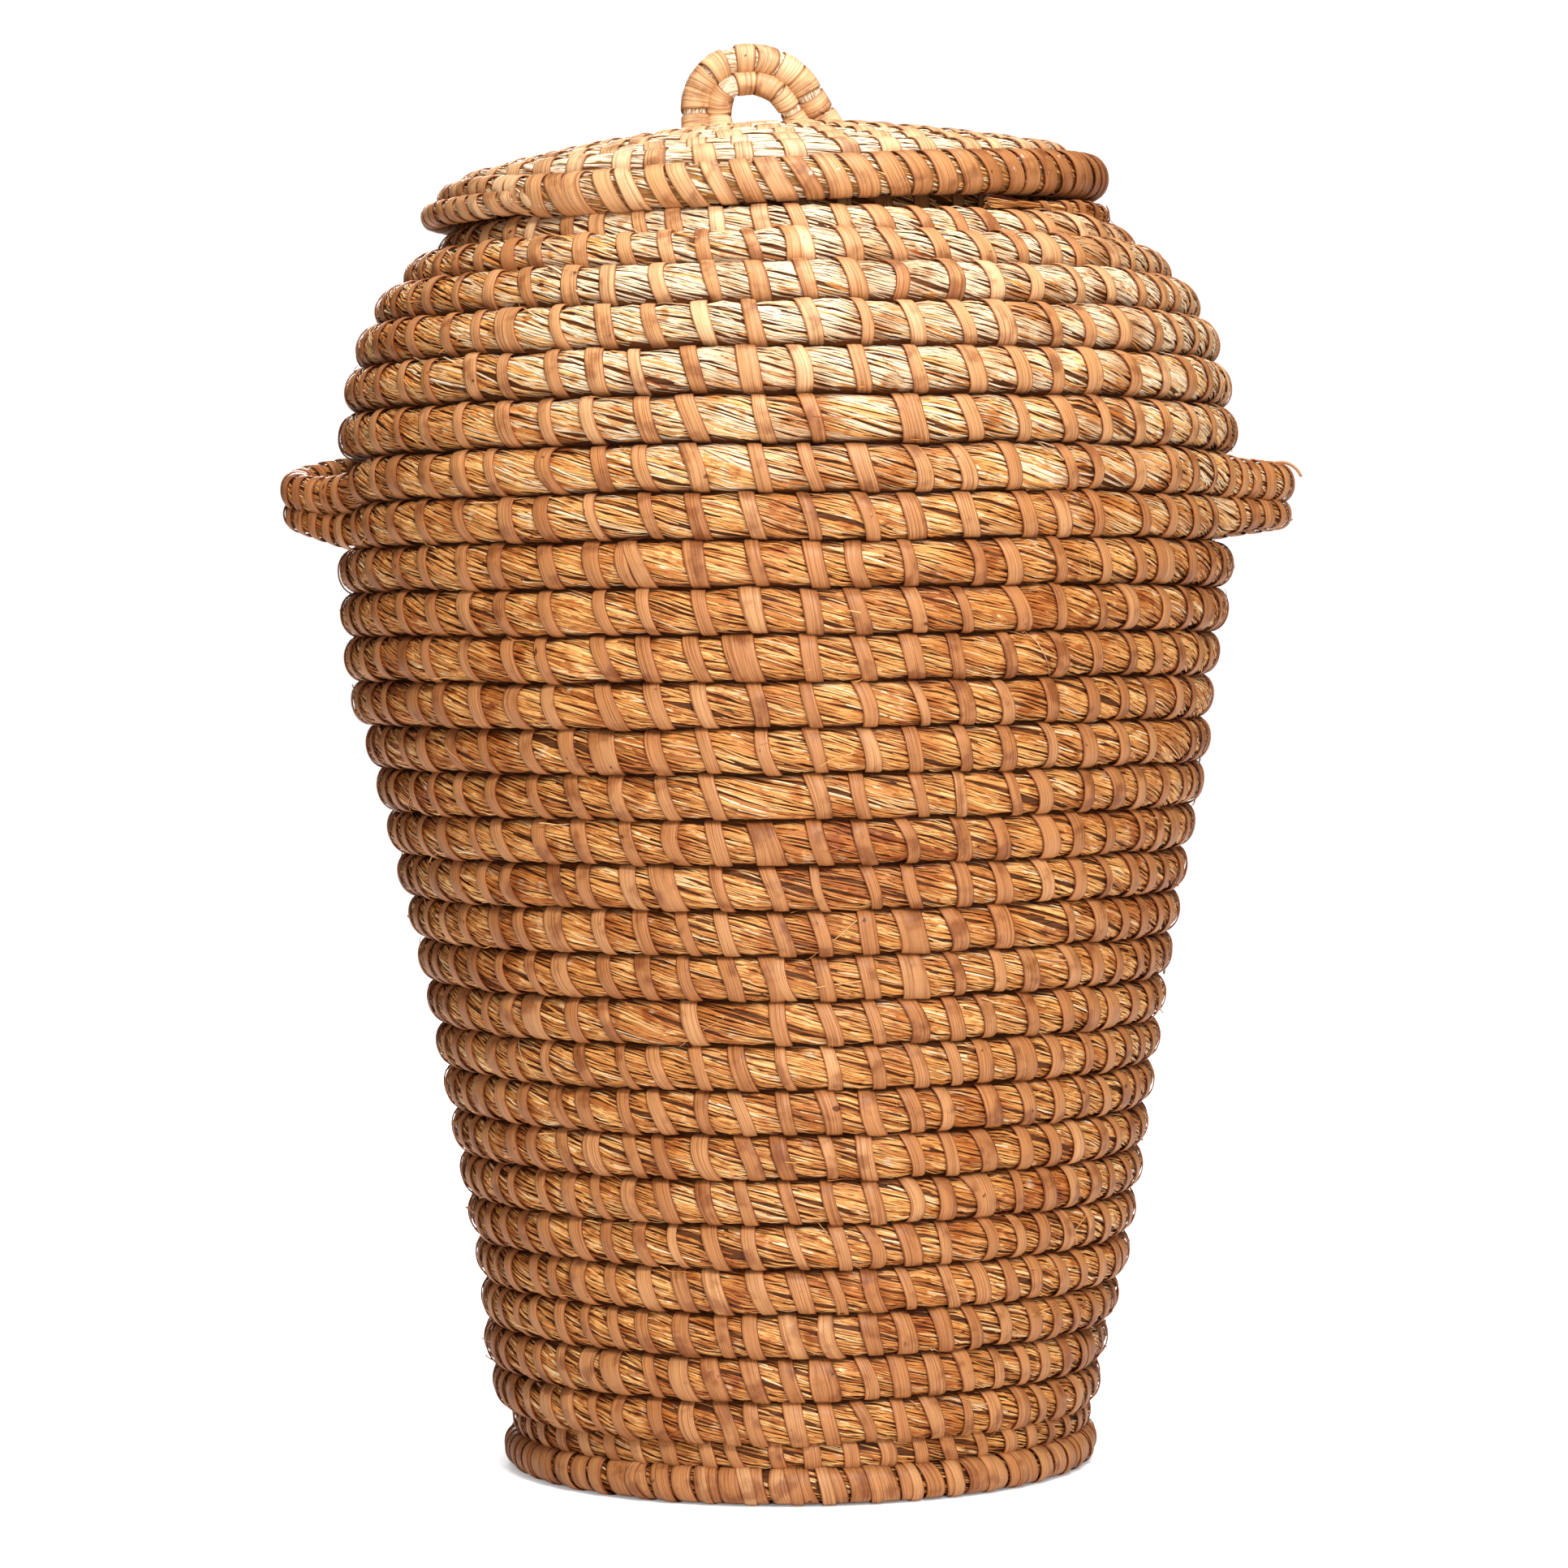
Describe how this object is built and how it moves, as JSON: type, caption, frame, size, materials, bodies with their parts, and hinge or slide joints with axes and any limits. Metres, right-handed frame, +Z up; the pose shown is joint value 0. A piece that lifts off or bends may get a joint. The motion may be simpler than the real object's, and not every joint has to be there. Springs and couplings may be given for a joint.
{
  "type": "laundry basket",
  "caption": "Tall coiled-straw laundry basket bound with split-wood strips, with a round lift-off lid, an arched lid grip and two side handles",
  "frame": {"origin": "centre of the foot ring on the floor", "axes": "+Z up along the basket's axis; the handles lie along X; the front faces -Y"},
  "size_m": [0.4632, 0.4115, 0.6449],
  "materials": {
    "straw": "dry straw, matte to satin",
    "splint": "split-wood strip, satin"
  },
  "bodies": {
    "root": {"base_knot": "straw", "base_coil": "straw", "foot_ring": "splint", "start_course": "straw", "wall_course_01": "straw", "wall_course_02": "straw", "wall_course_03": "straw", "wall_course_04": "straw", "wall_course_05": "straw", "wall_course_06": "straw", "wall_course_07": "straw", "wall_course_08": "straw", "wall_course_09": "straw", "wall_course_10": "straw", "wall_course_11": "straw", "wall_course_12": "straw", "wall_course_13": "straw", "wall_course_14": "straw", "wall_course_15": "straw", "wall_course_16": "straw", "wall_course_17": "straw", "wall_course_18": "straw", "wall_course_19": "straw", "wall_course_20": "straw", "handle_course_lower": "straw", "handle_course_upper": "straw", "shoulder_course_1": "straw", "shoulder_course_2": "straw", "shoulder_course_3": "straw", "shoulder_course_4": "straw", "shoulder_course_5": "straw", "shoulder_course_6": "straw", "coil_tail": "straw"},
    "lid": {"lid_knot": "straw", "lid_coil": "straw", "lid_rim": "splint", "lid_collar": "straw", "lid_grip_inner": "splint", "lid_grip_outer": "splint"}
  },
  "joints": [
    {"name": "lid_lift", "type": "slide", "parent": "root", "child": "lid", "axis": [0, 0, 1], "range_m": [0, 0.15]}
  ]
}
